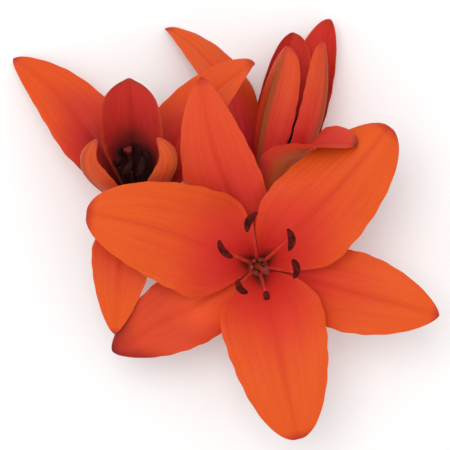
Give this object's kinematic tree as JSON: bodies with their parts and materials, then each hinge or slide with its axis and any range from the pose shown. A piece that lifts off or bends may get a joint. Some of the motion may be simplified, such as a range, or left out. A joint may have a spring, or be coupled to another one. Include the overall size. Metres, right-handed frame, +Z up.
{
  "type": "asiatic lily, cut stem",
  "caption": "Cut stem of an orange asiatic lily with open blooms, dark anthers and short stalks, lying on a flat surface.",
  "frame": {"origin": "middle of the part's box, on the surface that the stem lies on", "axes": "+Z up from the surface, +Y along the stem towards the blooms, +X to the right as seen from above"},
  "size_m": [0.18, 0.1766, 0.0643],
  "materials": {
    "petal": "satin",
    "filament": "satin",
    "anther": "matt",
    "pistil": "satin",
    "stem_green": "satin"
  },
  "bodies": {
    "root": {"bract_low": "stem_green", "bract_top": "stem_green", "front_anther_1": "anther", "front_anther_2": "anther", "front_anther_3": "anther", "front_anther_4": "anther", "front_anther_5": "anther", "front_anther_6": "anther", "front_filaments": "filament", "front_inner_left": "petal", "front_inner_lower": "petal", "front_inner_upper_right": "petal", "front_outer_lower_left": "petal", "front_outer_right": "petal", "front_outer_upper": "petal", "front_pistil": "pistil", "left_anther_1": "anther", "left_anther_2": "anther", "left_anther_3": "anther", "left_anther_4": "anther", "left_anther_5": "anther", "left_anther_6": "anther", "left_filaments": "filament", "left_inner_lower_left": "petal", "left_inner_lower_right": "petal", "left_inner_upper": "petal", "left_outer_lower": "petal", "left_outer_upper_left": "petal", "left_outer_upper_right": "petal", "left_pistil": "pistil", "stem": "stem_green", "upper_anther_1": "anther", "upper_anther_2": "anther", "upper_anther_3": "anther", "upper_anther_4": "anther", "upper_anther_5": "anther", "upper_anther_6": "anther", "upper_filaments": "filament", "upper_inner_far_left": "petal", "upper_inner_near_left": "petal", "upper_inner_near_right": "petal", "upper_outer_far_right": "petal", "upper_outer_left": "petal", "upper_outer_near_right": "petal", "upper_pistil": "pistil"}
  },
  "joints": []
}
